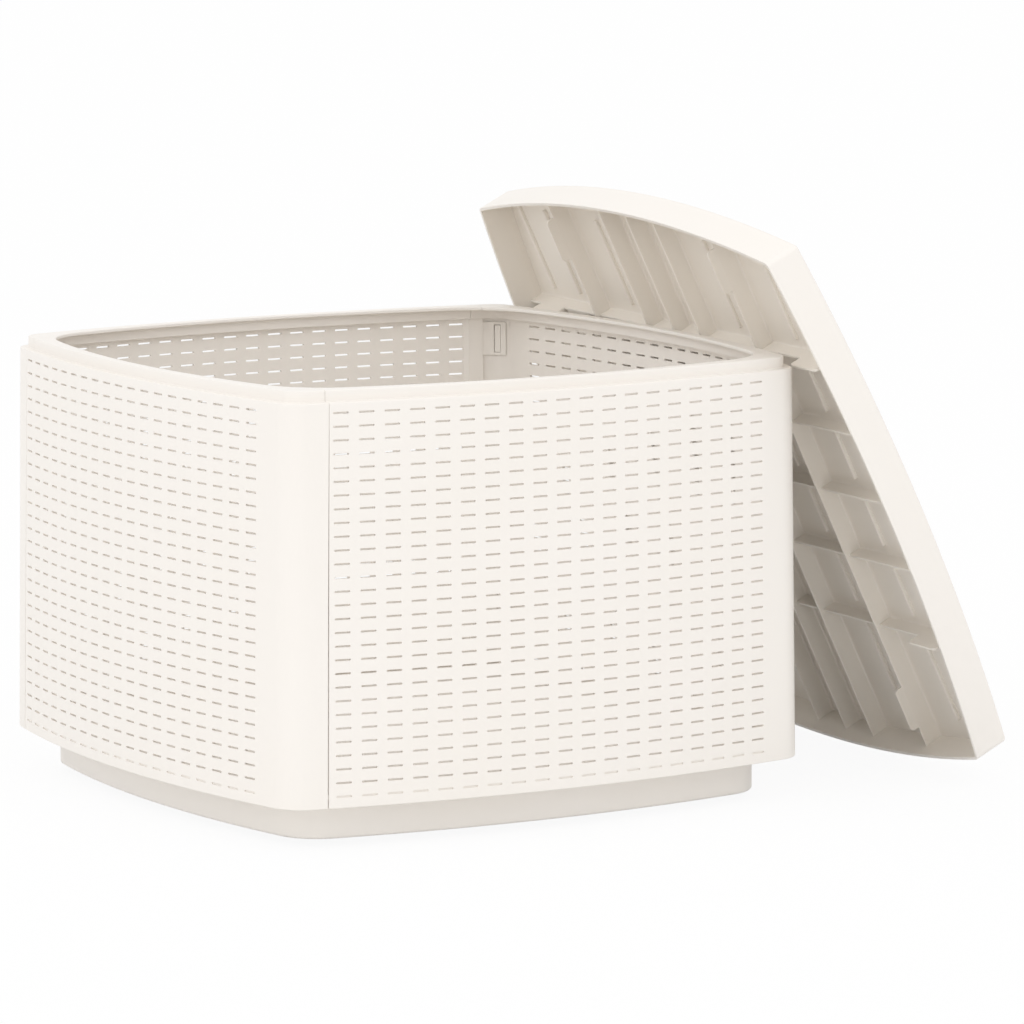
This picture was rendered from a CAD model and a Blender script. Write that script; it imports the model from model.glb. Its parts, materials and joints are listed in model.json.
"""Plastic garden storage table: four woven-look walls, a base tray and a ribbed lid, in ivory plastic.

Laid out as an add-on: property groups hold the sizes and colours, an operator adds each group of
mouldings, and a sidebar panel lists them. Everything is in metres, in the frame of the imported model:
+Z up, the front wall towards -Y, and the lid leaning on the right wall, towards +X.
"""

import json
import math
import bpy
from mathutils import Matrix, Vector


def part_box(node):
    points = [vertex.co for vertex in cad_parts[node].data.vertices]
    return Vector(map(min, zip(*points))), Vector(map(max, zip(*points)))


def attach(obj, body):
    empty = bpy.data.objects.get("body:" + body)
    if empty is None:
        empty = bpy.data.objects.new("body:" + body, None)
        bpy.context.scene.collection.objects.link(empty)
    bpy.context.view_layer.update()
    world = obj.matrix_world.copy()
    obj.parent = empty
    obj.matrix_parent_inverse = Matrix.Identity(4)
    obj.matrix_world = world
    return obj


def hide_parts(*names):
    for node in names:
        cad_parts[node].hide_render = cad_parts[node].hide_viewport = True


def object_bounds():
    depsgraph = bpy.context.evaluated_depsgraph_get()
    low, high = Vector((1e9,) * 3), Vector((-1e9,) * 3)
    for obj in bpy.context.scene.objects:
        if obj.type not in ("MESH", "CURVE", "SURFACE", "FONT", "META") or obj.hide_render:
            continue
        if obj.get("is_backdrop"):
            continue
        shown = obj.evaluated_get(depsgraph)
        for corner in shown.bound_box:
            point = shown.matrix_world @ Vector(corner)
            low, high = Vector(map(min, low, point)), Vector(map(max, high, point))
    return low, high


bl_info = {
    "name": "Garden storage table",
    "version": (1, 0, 0),
    "blender": (4, 5, 0),
    "location": "View3D > Sidebar > Garden Table",
    "description": "Adds the walls, base tray and lid of a woven-look plastic storage table",
    "category": "Add Mesh",
}

import bmesh
import bpy
from mathutils import Matrix, Vector

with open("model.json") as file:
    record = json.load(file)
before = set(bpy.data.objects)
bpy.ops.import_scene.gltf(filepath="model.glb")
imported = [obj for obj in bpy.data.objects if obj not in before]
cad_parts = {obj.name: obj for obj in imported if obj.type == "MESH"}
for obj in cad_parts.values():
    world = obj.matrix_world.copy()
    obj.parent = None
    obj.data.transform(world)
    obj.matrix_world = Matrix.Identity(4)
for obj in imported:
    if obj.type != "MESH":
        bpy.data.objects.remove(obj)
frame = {"record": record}
CAD_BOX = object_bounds()
WALL_LOW, WALL_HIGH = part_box("wall_front")
TRAY_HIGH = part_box("base_tray")[1]
TABLE_TOP = next(mount for mount in frame["record"]["mounts"] if mount["name"] == "table_top")

QUARTER = math.pi / 2
TOUCH = 1e-5            # two coordinates closer than this are the same
OVERLAP = 0.0004        # how far joined solids run into each other
BEND_STEP = 0.004       # longest flat piece of a strip that is bent round a corner
SEAM_BAND = 0.001       # how near a panel's ends a point counts as lying on the seam
CORNER_STEPS = 18       # flat pieces in a wall's rounded corner and its return to the seam
PATH_STEPS = 600        # flat pieces in the line that a wall is bent along
RIM_STEPS = 240         # flat pieces in the rim's edges, from seam to seam
HALVINGS = 40           # times a stretch is halved in the search for a place on an outline
SLOT_POINTS = 12        # points round a slot
OVER_SLOT = 0.9         # a slot's points above this share of its radius lie over its straight part
BESIDE_SLOT = 0.5       # those below this share lie beside the slot
SIDE_POINT = 1 / 3      # where the cell's side has a point, as a share of its half height
BREAK_STEPS = 2         # steps in a broken edge that is rounded
SMALL_STEPS = 3         # steps in a small rounding
LARGE_STEPS = 4         # steps in a larger one
SHARP_ANGLE = math.radians(50)     # an edge is broken where its faces turn by more than this
SMOOTH_ANGLE = math.radians(34)    # faces that turn by less than this are shaded as one
FACING = 0.5            # a face whose normal has more than this along an axis faces that way
WALL_FLARE = 0.0043     # how much further out a wall stands at its foot than at its shoulder
WALL_TURNS = {"wall_front": 0, "wall_right": 1, "wall_back": 2, "wall_left": 3}    # in quarter turns
RIB_LINES = (-3, -1, 0, 1, 3)              # grid lines with a rib that runs up the lid's slope
LUG_LINES = (-3, 3)                        # those whose ribs carry lugs
RIDGE_LINES = (-5, -4, -2, 2, 4, 5)        # grid lines with low ridges
RIB_ROUND = 0.6         # rounding of a rib's free edge, as a share of its half thickness
RIDGE_END_ROUND = 0.8   # rounding of a ridge's ends, as a share of its half width
RIDGE_TOP_ROUND = 0.6   # rounding of a ridge's top, as a share of its half width
INNER_SKIN = 0.85       # share of the lid's thickness that keeps the colour of its outside
WHITE = (1, 1, 1, 1)
DRIFT_SCALE = 7.0       # noise per metre of the slow drift of tone
CLOUD_SCALE = 55.0      # noise per metre of the cloudy gloss
DRIFT_DETAIL = 3.0
FINE_DETAIL = 2.0
DEEP_WEIGHTS = (0.6, 0.8, 1.4)     # how much of the tone variation red, green and blue take
CLOUD_GLOSS = 0.10      # change of roughness by the clouds
GRAIN_GLOSS = 0.06      # change of roughness by the grain
GRAIN_STRENGTH = 0.35   # strength of the grain's bump
PLASTIC_IOR = 1.47
FLOOR_SIZE = 80         # side of the floor
SIGHT = 200             # how far the camera sees
LAMP_SIZE = 2.8         # side of each square lamp
LAMP_AIM = Vector((0.1, 0, 0.2))
LEFT_LAMP_AT = (-3.6, -0.6, 3.3)
FRONT_LAMP_AT = (0.6, -3.6, 3.3)
NEAR_SKY = (-0.35, -0.35, 0.85)    # where the brighter side of the sky lies
SKY_SHARE = 0.4                    # share of the brighter light square to that side
SKY_FALL = 0.8                     # how quickly the sky darkens away from there


def length(name, description, default):
    """A size in metres."""
    return bpy.props.FloatProperty(name=name, description=description, default=default,
                                   unit="LENGTH", precision=4)


def count(name, description, default):
    return bpy.props.IntProperty(name=name, description=description, default=default, min=1)


def angle(name, description, degrees):
    return bpy.props.FloatProperty(name=name, description=description, default=math.radians(degrees),
                                   unit="ROTATION")


def share(name, description, default):
    return bpy.props.FloatProperty(name=name, description=description, default=default,
                                   min=0, max=1, subtype="FACTOR")


def strength(name, description, default):
    return bpy.props.FloatProperty(name=name, description=description, default=default, min=0)


def colour(name, description, default):
    return bpy.props.FloatVectorProperty(name=name, description=description, default=default,
                                         size=3, min=0, max=1, subtype="COLOR")


class WallSizes(bpy.types.PropertyGroup):
    """Sizes of one wall panel."""
    half: length("Half width", "Middle of a wall's outer face from the box's centre, at the shoulder",
                 -WALL_LOW.y - WALL_FLARE)
    bow: length("Bow radius", "Plan radius of a wall's outer face", 1.126)
    corner: length("Corner radius", "Outer rounding where two walls meet", 0.025)
    flare: length("Flare", "How much further out a wall stands at its foot", WALL_FLARE)
    bottom: length("Lower edge", "Lower edge of the walls above the floor", WALL_LOW.z)
    top: length("Top of lip", "Top of the walls above the floor", WALL_HIGH.z)
    skin: length("Thickness", "Thickness of a wall", 0.003)
    foot_round: length("Foot rounding", "Rounding of a wall's lower edge", 0.0009)
    lip_inset: length("Shoulder", "Width of the ledge that carries the lid", 0.007)
    lip_height: length("Lip", "Height of the lip above the shoulder", 0.0095)
    rim_half: length("Rim half width", "Middle of the rim's inner edge from the box's centre", 0.2535)
    rim_bow: length("Rim bow", "Plan radius of the rim's inner edge", 0.838)
    rim_corner: length("Rim corner", "Rounding of the rim's inner corners", 0.065)
    rim_thick: length("Rim thickness", "Thickness of the flat rim on the lip", 0.003)
    ledge_level: length("Ledge", "Underside of the inner ledge that hangs on the tray", TRAY_HIGH.z)
    ledge_thick: length("Ledge thickness", "Thickness of the inner ledge", 0.0025)
    ledge_reach: length("Ledge reach", "Inner edge of the ledge in from the outer face", 0.012)
    seam_offset: length("Seam", "Seam between two panels from the box's mid plane, at the shoulder", 0.2100)
    seam_gap: length("Seam gap", "Open joint at a seam", 0.0003)
    seam_open: length("Seam opening", "How much wider a seam is from its middle down", 0.00065)
    edge: length("Edge break", "Chamfer on the slots and the panel's edges", 0.0003)
    shoulder_round: length("Shoulder rounding", "Rounding of the shoulder and lip", 0.0011)


class SlotSizes(bpy.types.PropertyGroup):
    """Sizes of the woven-look slots."""
    columns: count("Columns", "Slots side by side", 19)
    rows: count("Rows", "Slots one above the other", 29)
    step_across: length("Column step", "Distance between columns along the bowed face", 0.02219)
    step_up: length("Row step", "Distance between rows", 0.01119)
    first_across: length("First column", "First column from the panel's middle, along the face", -0.2015)
    bottom_row: length("Lowest row", "Height of the lowest row above the floor", 0.0468)
    long: length("Slot length", "Length of a slot with its round ends", 0.0135)
    high: length("Slot height", "Height of a slot", 0.0017)
    blind_depth: length("Blind depth", "Depth of the lowest row, which is closed at the back", 0.0012)


class SnapSizes(bpy.types.PropertyGroup):
    """Sizes of the laps, tongues and catches that hold two panels together, along the outer face."""
    lap_reach: length("Lap", "Strip behind the next panel, past the seam", 0.0141)
    low: length("Lower tongue", "Middle height of the lower tongue", 0.1045)
    spacing: length("Spacing", "Distance between tongues", 0.242)
    tongues: count("Tongues", "Tongues on a seam", 2)
    reach: length("Reach", "Tongue past the seam", 0.0399)
    root: length("Root", "Sloped foot of the strip on its own panel", 0.0028)
    high: length("Height", "Height of a tongue", 0.030)
    skin: length("Thickness", "Thickness of the strip", 0.0022)
    step: length("Step", "How much thinner a tongue is than the strip", 0.0007)
    room: length("Clearance", "Room round a tongue and its catch", 0.0004)
    window_offset: length("Window offset", "Middle of the window past the seam", 0.0300)
    window_wide: length("Window width", "Width of the window in a tongue", 0.0074)
    window_high: length("Window height", "Height of the window in a tongue", 0.025)


class TraySizes(bpy.types.PropertyGroup):
    """Sizes of the base tray."""
    clearance: length("Clearance", "Tray's edge inside the walls", 0.0003)
    floor_thick: length("Floor", "Thickness of the tray's floor and of the rim that the walls hang on", 0.003)
    plinth_inset: length("Plinth inset", "Plinth in from the walls' outer faces at the shoulder", 0.0251)
    plinth_skin: length("Plinth thickness", "Thickness of the plinth", 0.003)
    plinth_corner: length("Plinth corner", "Rounding of the plinth's corners", 0.040)
    plinth_bottom: length("Plinth edge", "Lower edge of the plinth above the floor", 0.0064)
    plinth_round: length("Plinth rounding", "Rounding of the plinth's lower edge", 0.0027)
    foot_inset: length("Standing rim", "Standing rim in from the walls' outer faces", 0.092)
    foot_skin: length("Rim thickness", "Thickness of the standing rim", 0.006)
    rib_offset: length("Rib offset", "Ribs under the floor from the box's mid planes", 0.075)
    rib_level: length("Rib edge", "Lower edge of the ribs under the floor", 0.014)
    rib_skin: length("Rib thickness", "Thickness of the ribs under the floor", 0.0025)
    edge: length("Edge break", "Rounding of the floor's and rim's edges", 0.0005)


class LidSizes(bpy.types.PropertyGroup):
    """Sizes of the lid, in its own frame: skirt edge at 0, table top upwards."""
    half: length("Half width", "Middle of the skirt from the lid's centre", 0.2705)
    bow: length("Bow radius", "Plan radius of the lid's sides", 1.2084)
    corner: length("Corner radius", "Rounding of the lid's corners", 0.006)
    high: length("Height", "Lid from skirt edge to top", 0.0331)
    skin: length("Thickness", "Thickness of the lid", 0.003)
    edge_round: length("Edge rounding", "Rounding of the lid's top edge", 0.0025)
    edge: length("Edge break", "Rounding of the skirt's edge and of the lugs", 0.0005)
    rib_skin: length("Rib thickness", "Thickness of the ribs", 0.0025)
    rib_step: length("Rib grid", "Grid of the ribs that run up the slope", 0.0455)
    rib_fillet: length("Rib fillet", "Rounding at the root of a rib", 0.002)
    long_edge: length("Long rib edge", "Edge of the long ribs above the skirt's edge", 0.013)
    cross_edge: length("Cross rib edge", "Edge of the cross ribs above the skirt's edge", 0.017)
    cross_inner: length("Inner cross rib", "Inner cross ribs from the lid's centre", 0.0673)
    cross_outer: length("Outer cross rib", "Outer cross ribs from the lid's centre", 0.1381)
    lug_edge: length("Lug edge", "Edge of the locating lugs above the skirt's edge", 0.005)
    lug_start: length("Lug start", "Inner end of a lug from the lid's centre", 0.199)
    lug_end: length("Lug end", "Outer end of a lug from the lid's centre", 0.2405)
    lug_round: length("Lug rounding", "Rounding of a lug's free corners", 0.004)
    ridge_high: length("Ridge height", "Height of the low ridges between the ribs", 0.003)
    ridge_wide: length("Ridge width", "Width of the low ridges", 0.005)
    ridge_gap: length("Ridge gap", "Ends of a ridge short of a rib", 0.010)
    ridge_end: length("Ridge end", "Outer end of the ridges in the end fields", 0.2345)
    roll: angle("Roll", "Turn of the lid in its own plane", 0.788)


class PlasticLook(bpy.types.PropertyGroup):
    """Colours and finish of the mouldings."""
    ivory: colour("Ivory", "Colour of the plastic", (0.93, 0.89, 0.845))
    inner_ivory: colour("Inner ivory", "Warmer colour of the lid's ribbed side", (0.94, 0.888, 0.815))
    tone: share("Tone variation", "How much the colour drifts over a moulding", 0.03)
    roughness: share("Roughness", "Roughness of the satin surface", 0.42)
    grain: length("Grain", "Size of the moulded grain", 0.0006)
    grain_depth: length("Grain depth", "Depth of the moulded grain", 0.00002)


class StageLook(bpy.types.PropertyGroup):
    """Camera, light and floor."""
    target: bpy.props.FloatVectorProperty(name="Target", description="Point in the middle of the picture",
                                          default=(0.208524, 0.165832, 0.1995), size=3, subtype="XYZ")
    azimuth: angle("Azimuth", "Turn of the camera round the box", -30.7515)
    elevation: angle("Elevation", "Height of the camera above the horizon", 7.9913)
    roll: angle("Roll", "Turn of the picture", -0.0607)
    distance: length("Distance", "Camera to target", 6.0788)
    lens: bpy.props.FloatProperty(name="Lens", description="Focal length in millimetres", default=239.739)
    floor: colour("Floor", "Colour of the floor", (0.93, 0.93, 0.93))
    floor_white: share("White floor", "How much of the floor's brightness is plain white", 0.93)
    near_sky: strength("Near sky", "Strength of the light from the front, left and above", 1.10)
    far_sky: strength("Far sky", "Strength of the light from the back and right", 0.40)
    left_lamp: strength("Left lamp", "Power of the large lamp on the left, in watts", 11)
    front_lamp: strength("Front lamp", "Power of the large lamp in front, in watts", 10)


class Plan:
    """A square outline with bowed sides and rounded corners, seen from above, with its front towards -Y."""

    def __init__(self, half, bow, corner):
        self.half, self.bow, self.corner = half, bow, corner
        self.centre = bow - half
        reach = bow - corner
        self.corner_at = (math.sqrt(2 * reach ** 2 - self.centre ** 2) - self.centre) / 2
        self.side_turn = math.asin(self.corner_at / reach)

    def inset(self, depth, corner=None):
        """The same outline further in."""
        rounding = self.corner - depth if corner is None else corner
        return Plan(self.half - depth, self.bow - depth, rounding)

    def at(self, along):
        """Point at a distance from the start of the corner on the front side's left."""
        corner, side = self.corner_length(), self.side_length()
        if along < corner:
            middle, radius = (-self.corner_at, -self.corner_at), self.corner
            turn = self.side_turn - QUARTER + along / self.corner
        elif along < corner + side:
            middle, radius = (0, self.centre), self.bow
            turn = (along - corner) / self.bow - self.side_turn
        elif along < 2 * corner + side:
            middle, radius = (self.corner_at, -self.corner_at), self.corner
            turn = self.side_turn + (along - corner - side) / self.corner
        else:
            middle, radius = (-self.centre, 0), self.bow
            turn = QUARTER - self.side_turn + (along - 2 * corner - side) / self.bow
        return Vector((middle[0] + radius * math.sin(turn), middle[1] - radius * math.cos(turn), 0))

    def between(self, start, stop, steps):
        """Evenly spaced points between two distances."""
        return [self.at(start + (stop - start) * step / steps) for step in range(steps + 1)]

    def crossing(self, start, stop, passed):
        """The distance, between two others, at which a test of the point comes true."""
        for _ in range(HALVINGS):
            middle = (start + stop) / 2
            if passed(self.at(middle)):
                stop = middle
            else:
                start = middle
        return stop

    def side_length(self):
        return 2 * self.side_turn * self.bow

    def corner_length(self):
        return (QUARTER - 2 * self.side_turn) * self.corner

    def reach(self, offset):
        """How far a side lies from the centre, at an offset along it."""
        return math.sqrt(self.bow ** 2 - offset ** 2) - self.centre

    def outline(self, side_steps=24, corner_steps=8):
        """The whole outline as one closed loop of points."""
        corner, side = self.corner_length(), self.side_length()
        quarter = self.between(corner, corner + side, side_steps)[:-1]
        quarter += self.between(corner + side, 2 * corner + side, corner_steps)[:-1]
        turns = [Matrix.Rotation(number * QUARTER, 3, "Z") for number in range(4)]
        return [turn @ point for turn in turns for point in quarter]


def deselect():
    if bpy.context.mode != "OBJECT":
        bpy.ops.object.mode_set(mode="OBJECT")
    bpy.ops.object.select_all(action="DESELECT")


def activate(piece):
    deselect()
    piece.select_set(True)
    bpy.context.view_layer.objects.active = piece


def edit(piece):
    activate(piece)
    bpy.ops.object.mode_set(mode="EDIT")


def new_piece(name):
    """An empty mesh at the origin, in edit mode, for primitives to go into."""
    piece = bpy.data.objects.new(name, bpy.data.meshes.new(name))
    bpy.context.scene.collection.objects.link(piece)
    edit(piece)
    return piece


def near(value, target):
    return abs(value - target) < TOUCH


def pick(piece, kind, wanted):
    """Select, in edit mode, only the vertices, edges or faces that a test takes."""
    bpy.ops.mesh.select_mode(type=kind)
    bpy.ops.mesh.select_all(action="DESELECT")
    shape = bmesh.from_edit_mesh(piece.data)
    elements = {"VERT": shape.verts, "EDGE": shape.edges, "FACE": shape.faces}[kind]
    taken = [element for element in elements if wanted(element)]
    if not taken:
        raise RuntimeError(f"{piece.name}: nothing to select")
    for element in taken:
        element.select_set(True)
    bmesh.update_edit_mesh(piece.data)


def edges_at(**places):
    """A test for edges that lie in the given coordinate planes, such as z=0.04."""
    axes = {"x": 0, "y": 1, "z": 2}
    wanted = [(axes[name], place) for name, place in places.items()]
    return lambda edge: all(near(vert.co[axis], place) for vert in edge.verts for axis, place in wanted)


def extrude(x=0.0, y=0.0, z=0.0):
    bpy.ops.mesh.extrude_region_move(TRANSFORM_OT_translate={"value": (x, y, z)})


def apply_modifier(piece, kind, **settings):
    activate(piece)
    modifier = piece.modifiers.new(kind, kind)
    for name, value in settings.items():
        setattr(modifier, name, value)
    bpy.ops.object.modifier_apply(modifier=modifier.name)


def break_edges(piece, width, segments=1):
    """Chamfer or round every sharp edge."""
    apply_modifier(piece, "BEVEL", width=width, segments=segments, limit_method="ANGLE",
                   angle_limit=SHARP_ANGLE)


def point_outwards(piece):
    edit(piece)
    bpy.ops.mesh.select_all(action="SELECT")
    bpy.ops.mesh.normals_make_consistent(inside=False)
    bpy.ops.object.mode_set(mode="OBJECT")


def add_block(low, high):
    """A box between two corners, in the piece that is in edit mode."""
    low, high = Vector(low), Vector(high)
    bpy.ops.mesh.primitive_cube_add(size=1, location=(low + high) / 2, scale=high - low)


def ring_of(points, level):
    """Fill a loop of points with one face, in the piece that is in edit mode."""
    bpy.ops.mesh.primitive_circle_add(vertices=len(points), radius=1, fill_type="NGON")
    shape = bmesh.from_edit_mesh(bpy.context.edit_object.data)
    loop = [vert for vert in shape.verts if vert.select]
    for vert, point in zip(loop, points):
        vert.co = (point.x, point.y, level)
    bmesh.update_edit_mesh(bpy.context.edit_object.data)


def slice_across(normal, places):
    """Cut everything in the piece that is in edit mode across one axis."""
    for place in places:
        bpy.ops.mesh.select_all(action="SELECT")
        bpy.ops.mesh.bisect(plane_co=Vector(normal) * place, plane_no=normal)


def join(pieces):
    """One object out of several; the first keeps its name."""
    activate(pieces[0])
    for piece in pieces:
        piece.select_set(True)
    bpy.ops.object.join()
    return pieces[0]


def fuse(piece, tools):
    """Grow closed solids into one skin."""
    for tool in tools:
        point_outwards(tool)
        apply_modifier(piece, "BOOLEAN", operation="UNION", solver="MANIFOLD", object=tool)
        bpy.data.objects.remove(tool)


def finish_piece(piece, body, node, material):
    """Smooth shading that keeps flat faces flat, the material, and the piece's place in the frame."""
    activate(piece)
    bpy.ops.object.shade_smooth_by_angle(angle=SMOOTH_ANGLE)
    apply_modifier(piece, "WEIGHTED_NORMAL", keep_sharp=True)
    piece.data.materials.clear()
    piece.data.materials.append(material)
    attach(piece, body)
    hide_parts(node)


class Socket:
    """An output in a node tree. Arithmetic on it adds Math nodes, and add() gives any other node."""

    def __init__(self, tree, output=None):
        self.tree, self.output = tree, output

    def add(self, kind, settings=None, inputs=None, output=0):
        """A new node: settings first, then the values or links of its sockets."""
        node = self.tree.nodes.new(kind)
        for name, value in (settings or {}).items():
            setattr(node, name, value)
        for name, value in (inputs or {}).items():
            if isinstance(value, Socket):
                self.tree.links.new(value.output, node.inputs[name])
            else:
                node.inputs[name].default_value = value
        return Socket(self.tree, node.outputs[output] if node.outputs else None)

    def math(self, operation, first, second):
        return self.add("ShaderNodeMath", {"operation": operation}, {0: first, 1: second})

    def dot(self, first, second):
        return self.add("ShaderNodeVectorMath", {"operation": "DOT_PRODUCT"}, {0: first, 1: second}, "Value")

    def mix_colours(self, factor, first, second):
        return self.add("ShaderNodeMix", {"data_type": "RGBA"}, {"Factor": factor, "A": first, "B": second},
                        "Result")

    def __add__(self, other):
        return self.math("ADD", self, other)

    def __radd__(self, other):
        return self.math("ADD", other, self)

    def __sub__(self, other):
        return self.math("SUBTRACT", self, other)

    def __mul__(self, other):
        return self.math("MULTIPLY", self, other)

    def __rmul__(self, other):
        return self.math("MULTIPLY", other, self)


def blank_material(name):
    """A material with no nodes, and a socket to build them from."""
    material = bpy.data.materials.new(name)
    material.use_nodes = True
    material.node_tree.nodes.clear()
    return material, Socket(material.node_tree)


def moulded_plastic(name, look, inner_side=None):
    """Satin ivory plastic: slow drift of tone, cloudy gloss and a fine moulded grain.

    Where the mask that inner_side gives is 1, the warmer ivory is used.
    """
    material, nodes = blank_material(name)
    place = nodes.add("ShaderNodeTexCoord", output="Object")
    noises = ((DRIFT_SCALE, DRIFT_DETAIL), (CLOUD_SCALE, FINE_DETAIL), (1 / look.grain, FINE_DETAIL))
    drift, cloud, grain = (
        nodes.add("ShaderNodeTexNoise", output="Fac",
                  inputs={"Vector": place, "Scale": scale, "Detail": detail})
        for scale, detail in noises)
    pale = (*look.ivory, 1)
    deep = (*(part * (1 - look.tone * weight) for part, weight in zip(look.ivory, DEEP_WEIGHTS)), 1)
    tint = nodes.mix_colours(drift, deep, pale)
    if inner_side:
        tint = nodes.mix_colours(inner_side(nodes, place), tint, (*look.inner_ivory, 1))
    gloss = look.roughness + CLOUD_GLOSS * (cloud - 0.5) + GRAIN_GLOSS * (grain - 0.5)
    relief = nodes.add("ShaderNodeBump", inputs={
        "Height": grain, "Strength": GRAIN_STRENGTH, "Distance": look.grain_depth})
    surface = nodes.add("ShaderNodeBsdfPrincipled", inputs={
        "Base Color": tint, "Roughness": gloss, "Normal": relief, "IOR": PLASTIC_IOR})
    nodes.add("ShaderNodeOutputMaterial", inputs={"Surface": surface})
    return material


class PanelLayout:
    """Distances along the outer face of a wall panel that is laid flat."""

    def __init__(self, walls, slots, plan):
        seam_turn = math.asin(walls.seam_offset / walls.bow)
        past_corner = (plan.side_turn - seam_turn) * walls.bow
        middle = plan.corner_length() + plan.side_length() / 2
        self.seam_slope = math.tan(seam_turn)
        self.start = plan.corner_length() + past_corner + walls.seam_gap / 2
        self.corner_start = middle + plan.side_length() / 2
        self.stop = self.corner_start + plan.corner_length() + past_corner - walls.seam_gap / 2
        self.first_slot = middle + slots.first_across
        self.last_slot = self.first_slot + (slots.columns - 1) * slots.step_across


def panel_path(plan, length_along):
    """The line in plan that a wall panel follows: corner, bowed front, corner, and the return to the seam."""
    points = plan.between(0, length_along, PATH_STEPS)
    line = bpy.data.curves.new("panel_path", "CURVE")
    line.dimensions = "3D"
    line.twist_mode = "Z_UP"
    spline = line.splines.new("POLY")
    spline.points.add(len(points) - 1)
    for target, point in zip(spline.points, points):
        target.co = (*point, 1)
    path = bpy.data.objects.new("panel_path", line)
    bpy.context.scene.collection.objects.link(path)
    return path


def slot_cell(slots, first, row):
    """One slot with round ends in a rectangular cell, facing -Y."""
    cell = new_piece("slot_cell")
    radius = slots.high / 2
    straight = slots.long / 2 - radius
    bpy.ops.mesh.primitive_circle_add(vertices=SLOT_POINTS, radius=radius,
                                      rotation=(QUARTER, math.pi / SLOT_POINTS, 0))
    for side in (-1, 1):
        pick(cell, "VERT", lambda vert: vert.co.x * side > 0)
        bpy.ops.transform.translate(value=(side * straight, 0, 0))
    bpy.ops.mesh.select_all(action="SELECT")
    bpy.ops.mesh.extrude_edges_move()
    half_wide, half_high = slots.step_across / 2, slots.step_up / 2
    shape = bmesh.from_edit_mesh(cell.data)
    for vert in shape.verts:
        if vert.select:
            up = math.copysign(1, vert.co.z)
            rise = abs(vert.co.z) / radius
            if rise < OVER_SLOT:
                vert.co.x = math.copysign(half_wide, vert.co.x)
            vert.co.z = up * half_high * (1 if rise > BESIDE_SLOT else SIDE_POINT)
    for face in shape.faces:
        face.normal_update()
    if next(iter(shape.faces)).normal.y > 0:
        bpy.ops.mesh.select_all(action="SELECT")
        bpy.ops.mesh.flip_normals()
    bpy.ops.mesh.select_all(action="SELECT")
    bpy.ops.transform.translate(value=(first, 0, row))
    return cell


def shoulder_level(walls):
    return walls.top - walls.lip_height


def flare_at(walls, level):
    """How far a wall stands out at a level below the shoulder."""
    shoulder = shoulder_level(walls)
    return walls.flare * max(0, shoulder - level) / (shoulder - walls.bottom)


def panel_skin(walls, slots, layout):
    """Slotted skin of a panel, laid flat: x along the wall, +y inwards, with its shoulder and lip."""
    skin = slot_cell(slots, layout.first_slot, slots.bottom_row)
    for number, step in ((slots.columns, (slots.step_across, 0, 0)), (slots.rows, (0, 0, slots.step_up))):
        apply_modifier(skin, "ARRAY", count=number, use_relative_offset=False, use_constant_offset=True,
                       constant_offset_displace=step, use_merge_vertices=True, merge_threshold=TOUCH)
    left = layout.first_slot - slots.step_across / 2
    right = layout.last_slot + slots.step_across / 2
    low = slots.bottom_row - slots.step_up / 2
    high = low + slots.rows * slots.step_up
    edit(skin)
    pick(skin, "VERT", lambda vert: near(vert.co.x, left))
    bpy.ops.transform.translate(value=(layout.start - left, 0, 0))
    corner_step = (layout.stop - layout.corner_start) / CORNER_STEPS
    for place in [layout.corner_start + corner_step * step for step in range(CORNER_STEPS + 1)]:
        pick(skin, "EDGE", edges_at(x=right))
        extrude(x=place - right)
        right = place
    pick(skin, "EDGE", edges_at(z=low))
    extrude(z=walls.bottom - low)
    shoulder = shoulder_level(walls)
    pick(skin, "EDGE", edges_at(z=high))
    extrude(z=shoulder - high)
    extrude(y=walls.lip_inset)
    extrude(z=walls.lip_height - walls.rim_thick + OVERLAP)
    apply_modifier(skin, "SOLIDIFY", thickness=walls.skin, offset=-1, use_even_offset=True)
    edit(skin)
    roundings = [(0, shoulder, walls.shoulder_round), (walls.lip_inset, shoulder, walls.shoulder_round),
                 (0, walls.bottom, walls.foot_round), (walls.skin, walls.bottom, walls.foot_round)]
    for depth, level, radius in roundings:
        pick(skin, "EDGE", edges_at(y=depth, z=level))
        bpy.ops.mesh.bevel(offset=radius, segments=SMALL_STEPS, affect="EDGES")
    break_edges(skin, walls.edge)
    return skin


def flat_strip(name, low, high):
    """A bar behind a flat panel, cut across often enough to be bent with it."""
    strip = new_piece(name)
    add_block(low, high)
    pieces = math.ceil((high[0] - low[0]) / BEND_STEP)
    slice_across((1, 0, 0), [low[0] + (high[0] - low[0]) * step / pieces for step in range(1, pieces)])
    return strip


def panel_stiffeners(walls, slots, layout):
    """Inner ledge, and the back of the lowest slots, behind a flat panel."""
    ledge = flat_strip("ledge", (layout.start, walls.skin - OVERLAP, walls.ledge_level),
                       (layout.stop, walls.ledge_reach, walls.ledge_level + walls.ledge_thick))
    break_edges(ledge, walls.edge)
    backing = flat_strip("slot_backing", (layout.first_slot - slots.long, slots.blind_depth,
                                          slots.bottom_row - slots.high),
                         (layout.last_slot + slots.long, walls.skin - OVERLAP, slots.bottom_row + slots.high))
    return [ledge, backing]


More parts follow.
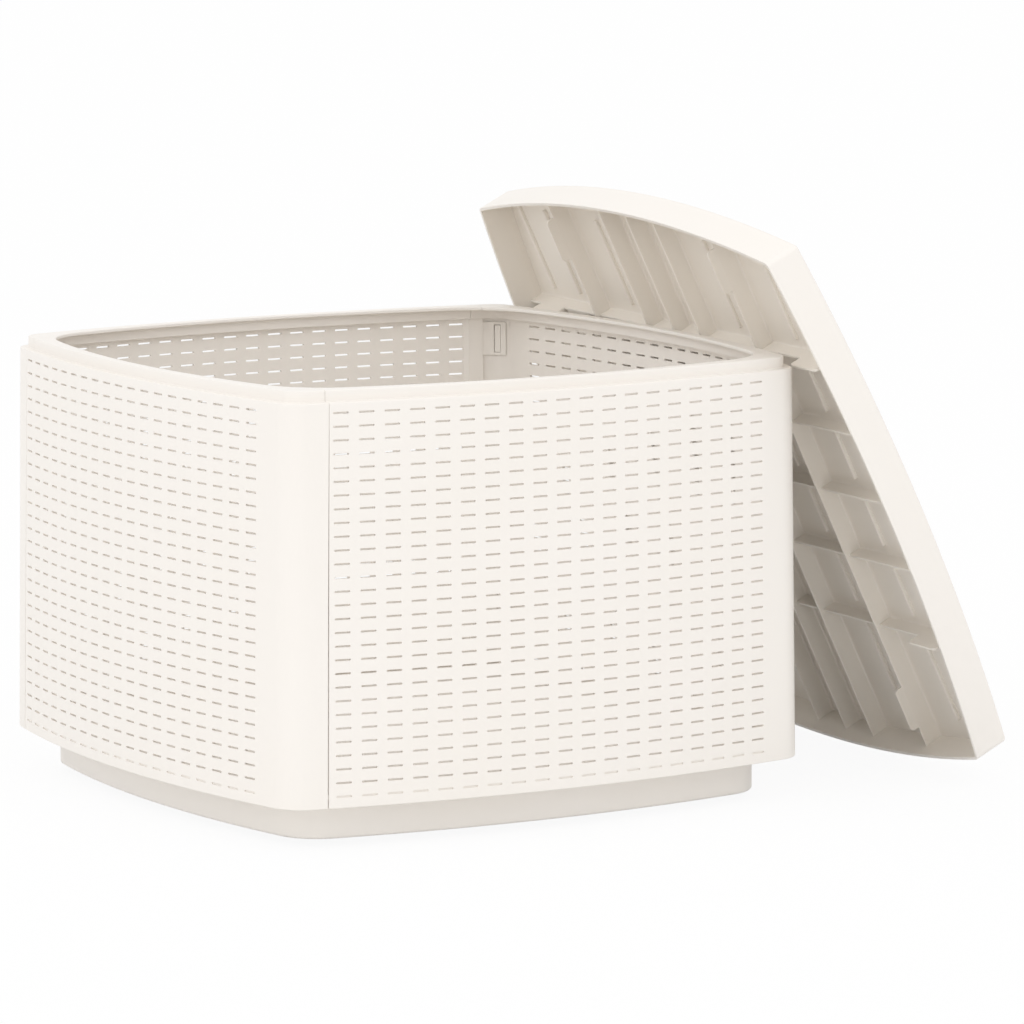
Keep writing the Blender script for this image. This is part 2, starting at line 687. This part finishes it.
def snap_tongue(walls, snaps, layout, middle):
    """One tongue past the seam, with its window, behind a flat panel."""
    near_face = walls.skin + snaps.room + OVERLAP / 4
    far_face = walls.skin + snaps.room + snaps.skin - snaps.step
    window_mid = layout.start - snaps.window_offset
    sides = (window_mid - snaps.window_wide / 2, window_mid + snaps.window_wide / 2)
    levels = (middle - snaps.window_high / 2, middle + snaps.window_high / 2)
    tongue = flat_strip("tongue", (layout.start - snaps.reach, near_face, middle - snaps.high / 2),
                        (layout.start - snaps.lap_reach / 2, far_face, middle + snaps.high / 2))
    slice_across((1, 0, 0), sides)
    slice_across((0, 0, 1), levels)

    def in_window(face):
        place = face.calc_center_median()
        inside = sides[0] < place.x < sides[1] and levels[0] < place.z < levels[1]
        return inside and abs(face.normal.y) > FACING
    pick(tongue, "FACE", in_window)
    bpy.ops.mesh.bridge_edge_loops()
    break_edges(tongue, walls.edge)
    return tongue


def panel_snaps(walls, snaps, layout):
    """The strip that laps the next panel, with tongues that wrap the corner, and catches at the other end."""
    near_face = walls.skin + snaps.room
    far_face = near_face + snaps.skin
    low = walls.ledge_level + walls.ledge_thick + snaps.room
    high = shoulder_level(walls) - walls.skin - snaps.room
    lap = flat_strip("lap", (layout.start - snaps.lap_reach, near_face, low), (layout.start, far_face, high))
    break_edges(lap, walls.edge)
    foot = layout.start + snaps.root
    root = new_piece("lap_root")
    add_block((layout.start - OVERLAP, near_face, low + walls.edge), (foot, far_face, high - walls.edge))
    for depth, sunk in ((near_face, walls.skin - OVERLAP), (far_face, walls.skin - OVERLAP / 2)):
        pick(root, "VERT", lambda vert: near(vert.co.x, foot) and near(vert.co.y, depth))
        bpy.ops.transform.translate(value=(0, sunk - depth, 0))
    parts = [lap, root]
    for number in range(snaps.tongues):
        middle = snaps.low + number * snaps.spacing
        parts.append(snap_tongue(walls, snaps, layout, middle))
        catch_mid = layout.stop - snaps.window_offset
        half_wide, half_high = snaps.window_wide / 2 - snaps.room, snaps.window_high / 2 - snaps.room
        catch = flat_strip("catch", (catch_mid - half_wide, walls.skin - OVERLAP, middle - half_high),
                           (catch_mid + half_wide, far_face, middle + half_high))
        break_edges(catch, walls.edge)
        parts.append(catch)
    return parts


def flare_and_trim(panel, walls, layout):
    """Lean the flat panel and its seams outwards below the shoulder, and square its ends to the seams."""
    edit(panel)
    shape = bmesh.from_edit_mesh(panel.data)
    for vert in shape.verts:
        flare = flare_at(walls, vert.co.z)
        vert.co.y -= flare
        if abs(vert.co.x - layout.stop) < SEAM_BAND:
            opened = min(1, 2 * flare / walls.flare)    # all of it from half height down
            vert.co.x -= walls.seam_open * opened
        if vert.co.x < layout.start + SEAM_BAND or vert.co.x > layout.corner_start - SEAM_BAND:
            vert.co.x -= flare + vert.co.y * layout.seam_slope
    bmesh.update_edit_mesh(panel.data)


def panel_rim(walls, plan):
    """The flat rim on a panel's lip, from seam to seam, in its place on the box."""
    edges = []
    outer_edge = plan.inset(walls.lip_inset + TOUCH)
    inner_edge = Plan(walls.rim_half, walls.rim_bow, walls.rim_corner)
    for outline in (outer_edge, inner_edge):
        middle = outline.corner_length() + outline.side_length() / 2
        next_middle = middle + outline.side_length() + outline.corner_length()
        start = outline.crossing(0, middle, lambda point: point.x > walls.seam_gap / 2 - walls.seam_offset)
        stop = outline.crossing(middle, next_middle,
                                lambda point: point.y > -walls.seam_gap / 2 - walls.seam_offset)
        edges.append(outline.between(start, stop, RIM_STEPS))
    rim = new_piece("rim")
    ring_of(edges[0] + edges[1][::-1], walls.top - walls.rim_thick)
    extrude(z=walls.rim_thick)
    point_outwards(rim)
    edit(rim)
    seam_width = walls.rim_thick * 2
    pick(rim, "EDGE", lambda edge: edges_at(z=walls.top)(edge) and edge.calc_length() < seam_width)
    bpy.ops.mesh.bevel(offset=walls.shoulder_round, segments=SMALL_STEPS, affect="EDGES")
    break_edges(rim, walls.edge)
    return rim


class GARDEN_TABLE_OT_walls(bpy.types.Operator):
    """Add the four woven-look wall panels, set round the tray like a pinwheel"""
    bl_idname = "garden_table.walls"
    bl_label = "Woven Walls"

    def execute(self, context):
        scene = context.scene
        walls, slots, snaps = scene.table_walls, scene.table_slots, scene.table_snaps
        plan = Plan(walls.half, walls.bow, walls.corner)
        layout = PanelLayout(walls, slots, plan)
        panel = join([panel_skin(walls, slots, layout)] + panel_stiffeners(walls, slots, layout)
                     + panel_snaps(walls, snaps, layout))
        flare_and_trim(panel, walls, layout)
        path = panel_path(plan, layout.stop + BEND_STEP)
        apply_modifier(panel, "CURVE", object=path, deform_axis="POS_X")
        bpy.data.objects.remove(path)
        panel = join([panel, panel_rim(walls, plan)])
        material = moulded_plastic("ivory_wall_plastic", scene.table_plastic)
        for node, turns in WALL_TURNS.items():
            piece = panel.copy()
            piece.data = panel.data.copy()
            piece.name = piece.data.name = node.replace("wall", "woven_panel")
            scene.collection.objects.link(piece)
            piece.rotation_euler.z = turns * QUARTER
            activate(piece)
            bpy.ops.object.transform_apply(location=True, rotation=True, scale=True)
            finish_piece(piece, "box", node, material)
        bpy.data.objects.remove(panel)
        return {"FINISHED"}


def bowed_slab(name, plan, low, high):
    """A closed upright block on a bowed plan."""
    slab = new_piece(name)
    ring_of(plan.outline(), low)
    extrude(z=high - low)
    return slab


def bowed_dish(name, plan, low, high, skin, open_level):
    """A block hollowed to an even skin, with its face at one level taken off."""
    dish = bowed_slab(name, plan, low, high)
    point_outwards(dish)
    edit(dish)
    pick(dish, "FACE", lambda face: all(near(vert.co.z, open_level) for vert in face.verts))
    bpy.ops.mesh.delete(type="FACE")
    apply_modifier(dish, "SOLIDIFY", thickness=skin, offset=-1, use_even_offset=True)
    return dish


def bowed_band(name, plan, low, high, skin):
    """An upright ring of even thickness on a bowed plan."""
    band = bowed_slab(name, plan, low, high)
    point_outwards(band)
    edit(band)
    pick(band, "FACE", lambda face: abs(face.normal.z) > FACING)
    bpy.ops.mesh.delete(type="ONLY_FACE")
    apply_modifier(band, "SOLIDIFY", thickness=skin, offset=-1, use_even_offset=True)
    return band


def tray_rib(sizes, plan, bottom, along_x, offset):
    """A rib under the tray's floor, from plinth to plinth."""
    reach = plan.reach(offset) - sizes.plinth_inset - sizes.plinth_skin / 2
    half = sizes.rib_skin / 2
    low = (-reach, offset - half, sizes.rib_level)
    high = (reach, offset + half, bottom + OVERLAP)
    rib = new_piece("tray_rib")
    if along_x:
        add_block(low, high)
    else:
        add_block((low[1], low[0], low[2]), (high[1], high[0], high[2]))
    bpy.ops.object.mode_set(mode="OBJECT")
    return rib


def outside_of(plan, point):
    """Whether a point lies outside a bowed outline."""
    across, along = abs(point.x), abs(point.y)
    if min(across, along) > plan.corner_at:
        return math.hypot(across - plan.corner_at, along - plan.corner_at) > plan.corner
    return max(across, along) > plan.reach(min(across, along))


class GARDEN_TABLE_OT_tray(bpy.types.Operator):
    """Add the base tray: floor, rim that the walls hang on, plinth, standing rim and ribs"""
    bl_idname = "garden_table.tray"
    bl_label = "Base Tray"

    def execute(self, context):
        scene = context.scene
        walls, sizes = scene.table_walls, scene.table_tray
        plan = Plan(walls.half, walls.bow, walls.corner)
        bottom = walls.bottom
        inside = plan.inset(walls.skin + sizes.clearance - flare_at(walls, walls.ledge_level))
        tray = bowed_dish("base_tray_moulding", inside, bottom, walls.ledge_level, sizes.floor_thick,
                          walls.ledge_level)
        break_edges(tray, sizes.edge, BREAK_STEPS)
        plinth_plan = plan.inset(sizes.plinth_inset, sizes.plinth_corner)
        plinth = bowed_band("plinth", plinth_plan, sizes.plinth_bottom, bottom + OVERLAP, sizes.plinth_skin)
        edit(plinth)
        mid_skin = plan.inset(sizes.plinth_inset + sizes.plinth_skin / 2, sizes.plinth_corner)

        def lower_outer(edge):
            level = all(near(vert.co.z, sizes.plinth_bottom) for vert in edge.verts)
            return level and all(outside_of(mid_skin, vert.co) for vert in edge.verts)
        pick(plinth, "EDGE", lower_outer)
        bpy.ops.mesh.bevel(offset=sizes.plinth_round, segments=LARGE_STEPS, affect="EDGES")
        rim = bowed_band("standing_rim", plan.inset(sizes.foot_inset, sizes.plinth_corner), 0,
                         bottom + OVERLAP, sizes.foot_skin)
        ribs = [tray_rib(sizes, plan, bottom, along_x, side * sizes.rib_offset)
                for along_x in (True, False) for side in (-1, 1)]
        fuse(tray, [plinth, rim] + ribs)
        finish_piece(tray, "box", "base_tray",
                     moulded_plastic("ivory_base_plastic", scene.table_plastic))
        return {"FINISHED"}


def rib_section(half, edge, roof, fillet):
    """Cross-section of a rib: rounded free edge, straight flanks and a fillet on each side of its root."""
    rounding = half * RIB_ROUND
    quarter_turns = [QUARTER * step / SMALL_STEPS for step in range(SMALL_STEPS + 1)]
    flank = [(half - rounding + rounding * math.sin(turn), edge + rounding - rounding * math.cos(turn))
             for turn in quarter_turns]
    flank += [(half + fillet - fillet * math.cos(turn), roof - fillet + fillet * math.sin(turn))
              for turn in quarter_turns]
    flank.append((half + fillet, roof + OVERLAP))
    return flank + [(-across, level) for across, level in reversed(flank)]


def lid_rib(sizes, plan, edge, offset, along_x):
    """One rib of the lid from skirt to skirt, at an offset from the centre."""
    rib = new_piece("lid_rib")
    reach = plan.reach(offset) - sizes.skin / 2
    section = rib_section(sizes.rib_skin / 2, edge, sizes.high - sizes.skin, sizes.rib_fillet)
    bpy.ops.mesh.primitive_circle_add(vertices=len(section), radius=1, fill_type="NGON")
    shape = bmesh.from_edit_mesh(rib.data)
    for vert, (across, level) in zip(shape.verts, section):
        vert.co = (-reach, offset + across, level) if along_x else (offset + across, -reach, level)
    bmesh.update_edit_mesh(rib.data)
    extrude(**{"x" if along_x else "y": 2 * reach})
    bpy.ops.object.mode_set(mode="OBJECT")
    return rib


def lid_lug(sizes, offset, end, along_x):
    """A locating lug: a short plate with rounded corners on the edge of a rib."""
    half = sizes.rib_skin / 2 - OVERLAP / 4
    start, stop = sorted((end * sizes.lug_start, end * sizes.lug_end))
    top = sizes.cross_edge + 2 * sizes.rib_skin
    lug = new_piece("lug")
    if along_x:
        add_block((start, offset - half, sizes.lug_edge), (stop, offset + half, top))
    else:
        add_block((offset - half, start, sizes.lug_edge), (offset + half, stop, top))
    axis = 0 if along_x else 1

    def outer_corner(edge):
        ends = [vert.co for vert in edge.verts]
        low = all(near(place.z, sizes.lug_edge) for place in ends)
        return low and any(all(near(place[axis], limit) for place in ends) for limit in (start, stop))
    pick(lug, "EDGE", outer_corner)
    bpy.ops.mesh.bevel(offset=sizes.lug_round, segments=LARGE_STEPS, affect="EDGES")
    break_edges(lug, sizes.edge, BREAK_STEPS)
    return lug


def lid_ridge(sizes, offset, start, stop):
    """A low stiffening ridge on the inside of the lid, soft all round."""
    half = sizes.ridge_wide / 2
    roof = sizes.high - sizes.skin
    ridge = new_piece("ridge")
    add_block((offset - half, start, roof - sizes.ridge_high), (offset + half, stop, roof + sizes.skin / 2))
    pick(ridge, "EDGE", lambda edge: abs(edge.verts[0].co.z - edge.verts[1].co.z) > TOUCH)
    bpy.ops.mesh.bevel(offset=half * RIDGE_END_ROUND, segments=SMALL_STEPS, affect="EDGES")
    pick(ridge, "EDGE", edges_at(z=roof - sizes.ridge_high))
    bpy.ops.mesh.bevel(offset=half * RIDGE_TOP_ROUND, segments=SMALL_STEPS, affect="EDGES")
    bpy.ops.object.mode_set(mode="OBJECT")
    return ridge


def lid_place(sizes):
    """Where the lid leans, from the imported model's table top."""
    normal = Vector(TABLE_TOP["axis"])
    centre = Vector(TABLE_TOP["pos_m"]) - sizes.high * normal
    slope = math.acos(normal.z)
    heading = math.atan2(normal.x, -normal.y)
    return (Matrix.Translation(centre) @ Matrix.Rotation(heading, 4, "Z") @ Matrix.Rotation(slope, 4, "X")
            @ Matrix.Rotation(sizes.roll, 4, "Z"))


def lid_inner_side(sizes):
    """A mask for the lid's material: 1 on its ribbed side, and 0 on its skirt and table top."""
    leaning = lid_place(sizes)
    axes = [leaning.col[number].to_3d() for number in range(3)]

    def mask(nodes, place):
        offset = nodes.add("ShaderNodeVectorMath", {"operation": "SUBTRACT"},
                           {0: place, 1: leaning.translation})
        across, along, height = (nodes.dot(offset, axis) for axis in axes)
        reaches = []
        for outwards, sideways in ((across, along), (along, across)):
            from_centre = nodes.math("ABSOLUTE", outwards, 0.0) + (sizes.bow - sizes.half)
            reaches.append(from_centre * from_centre + sideways * sideways)
        inside_skirt = (sizes.bow - INNER_SKIN * sizes.skin) ** 2
        within = nodes.math("LESS_THAN", nodes.math("MAXIMUM", *reaches), inside_skirt)
        below = nodes.math("LESS_THAN", height, sizes.high - INNER_SKIN * sizes.skin)
        return within * below
    return mask


class GARDEN_TABLE_OT_lid(bpy.types.Operator):
    """Add the lid with its ribs, lugs and low ridges, leaning on the right wall"""
    bl_idname = "garden_table.lid"
    bl_label = "Ribbed Lid"

    def execute(self, context):
        scene = context.scene
        sizes = scene.table_lid
        plan = Plan(sizes.half, sizes.bow, sizes.corner)
        lid = bowed_dish("ribbed_lid", plan, 0, sizes.high, sizes.skin, 0)
        edit(lid)
        pick(lid, "EDGE", edges_at(z=sizes.high))
        bpy.ops.mesh.bevel(offset=sizes.edge_round, segments=LARGE_STEPS, affect="EDGES")
        break_edges(lid, sizes.edge, BREAK_STEPS)
        cross = [-sizes.cross_outer, -sizes.cross_inner, 0, sizes.cross_inner, sizes.cross_outer]
        parts = [lid_rib(sizes, plan, sizes.long_edge, line * sizes.rib_step, False) for line in RIB_LINES]
        parts += [lid_rib(sizes, plan, sizes.cross_edge, offset, True) for offset in cross]
        for line, cross_rib in zip(LUG_LINES, (-sizes.cross_outer, sizes.cross_outer)):
            for end in (-1, 1):
                parts.append(lid_lug(sizes, line * sizes.rib_step, end, False))
                parts.append(lid_lug(sizes, cross_rib, end, True))
        ends = [-sizes.ridge_end - sizes.ridge_gap] + cross + [sizes.ridge_end + sizes.ridge_gap]
        for line in RIDGE_LINES:
            for start, stop in zip(ends, ends[1:]):
                parts.append(lid_ridge(sizes, line * sizes.rib_step,
                                       start + sizes.ridge_gap, stop - sizes.ridge_gap))
        fuse(lid, parts)
        lid.matrix_world = lid_place(sizes)
        activate(lid)
        bpy.ops.object.transform_apply(location=True, rotation=True, scale=True)
        material = moulded_plastic("ivory_lid_plastic", scene.table_plastic, lid_inner_side(sizes))
        finish_piece(lid, "lid", "lid", material)
        return {"FINISHED"}


def seen_directly(nodes):
    """1 where the camera sees a surface directly, in a mirror or through glass, and 0 elsewhere."""
    camera = nodes.add("ShaderNodeLightPath", output="Is Camera Ray")
    glossy = nodes.add("ShaderNodeLightPath", output="Is Glossy Ray")
    through = nodes.add("ShaderNodeLightPath", output="Is Transmission Ray")
    return nodes.math("MINIMUM", camera + glossy + through, 1.0)


def pale_floor(look):
    """A white floor that still takes the object's shadow."""
    material, nodes = blank_material("pale_floor")
    matte = nodes.add("ShaderNodeBsdfDiffuse", inputs={"Color": (*look.floor, 1)})
    glow = nodes.add("ShaderNodeEmission", inputs={"Color": WHITE, "Strength": 1.0})
    white = seen_directly(nodes) * look.floor_white
    surface = nodes.add("ShaderNodeMixShader", inputs={0: white, 1: matte, 2: glow})
    nodes.add("ShaderNodeOutputMaterial", inputs={"Surface": surface})
    return material


def studio_sky(scene, look):
    """Soft light from all round, brighter from above, front and left, and a plain white background."""
    world = bpy.data.worlds.new("studio")
    scene.world = world
    world.use_nodes = True
    world.node_tree.nodes.clear()
    nodes = Socket(world.node_tree)
    heading = nodes.add("ShaderNodeTexCoord", output="Generated")
    nearness = nodes.add("ShaderNodeClamp", inputs={
        "Value": SKY_FALL * nodes.dot(heading, NEAR_SKY) + SKY_SHARE})
    near_light, far_light, white = (
        nodes.add("ShaderNodeBackground", inputs={"Color": WHITE, "Strength": level})
        for level in (look.near_sky, look.far_sky, 1.0))
    light = nodes.add("ShaderNodeMixShader", inputs={0: nearness, 1: far_light, 2: near_light})
    surface = nodes.add("ShaderNodeMixShader", inputs={0: seen_directly(nodes), 1: light, 2: white})
    nodes.add("ShaderNodeOutputWorld", inputs={"Surface": surface})


def soft_box(name, place, power):
    """A large square lamp that faces the table."""
    lamp = bpy.data.lights.new(name, "AREA")
    lamp.size = LAMP_SIZE
    lamp.energy = power
    holder = bpy.data.objects.new(name, lamp)
    holder.location = place
    holder.rotation_euler = (LAMP_AIM - Vector(place)).to_track_quat("-Z", "Y").to_euler()
    bpy.context.scene.collection.objects.link(holder)


def photo_camera(scene, look):
    """The camera at the photograph's viewing angle."""
    ahead = Vector((-math.sin(look.azimuth) * math.cos(look.elevation),
                    math.cos(look.azimuth) * math.cos(look.elevation), -math.sin(look.elevation)))
    right = Vector((math.cos(look.azimuth), math.sin(look.azimuth), 0))
    up = right.cross(ahead)
    side = math.cos(look.roll) * right + math.sin(look.roll) * up
    lens = bpy.data.cameras.new("photo_camera")
    lens.lens = look.lens
    lens.clip_end = SIGHT
    camera = bpy.data.objects.new("photo_camera", lens)
    turn = Matrix((side, side.cross(ahead), -ahead)).transposed().to_4x4()
    camera.matrix_world = Matrix.Translation(Vector(look.target) - look.distance * ahead) @ turn
    scene.collection.objects.link(camera)
    scene.camera = camera


class GARDEN_TABLE_OT_stage(bpy.types.Operator):
    """Add the pale floor, the soft light and the camera"""
    bl_idname = "garden_table.stage"
    bl_label = "Stage"

    def execute(self, context):
        scene = context.scene
        look = scene.table_stage
        deselect()
        bpy.ops.mesh.primitive_plane_add(size=FLOOR_SIZE)
        floor = context.object
        floor.name = "floor"
        floor.data.materials.append(pale_floor(look))
        floor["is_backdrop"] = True
        studio_sky(scene, look)
        soft_box("left_lamp", LEFT_LAMP_AT, look.left_lamp)
        soft_box("front_lamp", FRONT_LAMP_AT, look.front_lamp)
        photo_camera(scene, look)
        scene.view_settings.view_transform = "Standard"
        return {"FINISHED"}


class GARDEN_TABLE_PT_sidebar(bpy.types.Panel):
    """Lists the mouldings and the stage"""
    bl_label = "Garden Table"
    bl_idname = "GARDEN_TABLE_PT_sidebar"
    bl_space_type = "VIEW_3D"
    bl_region_type = "UI"
    bl_category = "Garden Table"

    def draw(self, context):
        for operator in OPERATORS:
            self.layout.operator(operator.bl_idname)
        for name in PROPERTY_GROUPS:
            box = self.layout.box()
            box.label(text=name.replace("table_", "").title())
            group = getattr(context.scene, name)
            for prop in group.bl_rna.properties:
                if prop.identifier not in ("rna_type", "name"):
                    box.prop(group, prop.identifier)


PROPERTY_GROUPS = {"table_walls": WallSizes, "table_slots": SlotSizes, "table_snaps": SnapSizes,
                   "table_tray": TraySizes, "table_lid": LidSizes, "table_plastic": PlasticLook,
                   "table_stage": StageLook}
OPERATORS = (GARDEN_TABLE_OT_walls, GARDEN_TABLE_OT_tray, GARDEN_TABLE_OT_lid, GARDEN_TABLE_OT_stage)


def register():
    for group in PROPERTY_GROUPS.values():
        bpy.utils.register_class(group)
    for name, group in PROPERTY_GROUPS.items():
        setattr(bpy.types.Scene, name, bpy.props.PointerProperty(type=group))
    for operator in OPERATORS:
        bpy.utils.register_class(operator)
    bpy.utils.register_class(GARDEN_TABLE_PT_sidebar)


def unregister():
    bpy.utils.unregister_class(GARDEN_TABLE_PT_sidebar)
    for operator in reversed(OPERATORS):
        bpy.utils.unregister_class(operator)
    for name in PROPERTY_GROUPS:
        delattr(bpy.types.Scene, name)
    for group in reversed(list(PROPERTY_GROUPS.values())):
        bpy.utils.unregister_class(group)


def main():
    """Build everything and note the CAD model's box and the visual model's box."""
    register()
    bpy.ops.garden_table.walls()
    bpy.ops.garden_table.tray()
    bpy.ops.garden_table.lid()
    bpy.ops.garden_table.stage()
    boxes = {"cad": CAD_BOX, "visual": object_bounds()}
    {name: [list(corner) for corner in box] for name, box in boxes.items()}


if __name__ == "__main__":
    main()
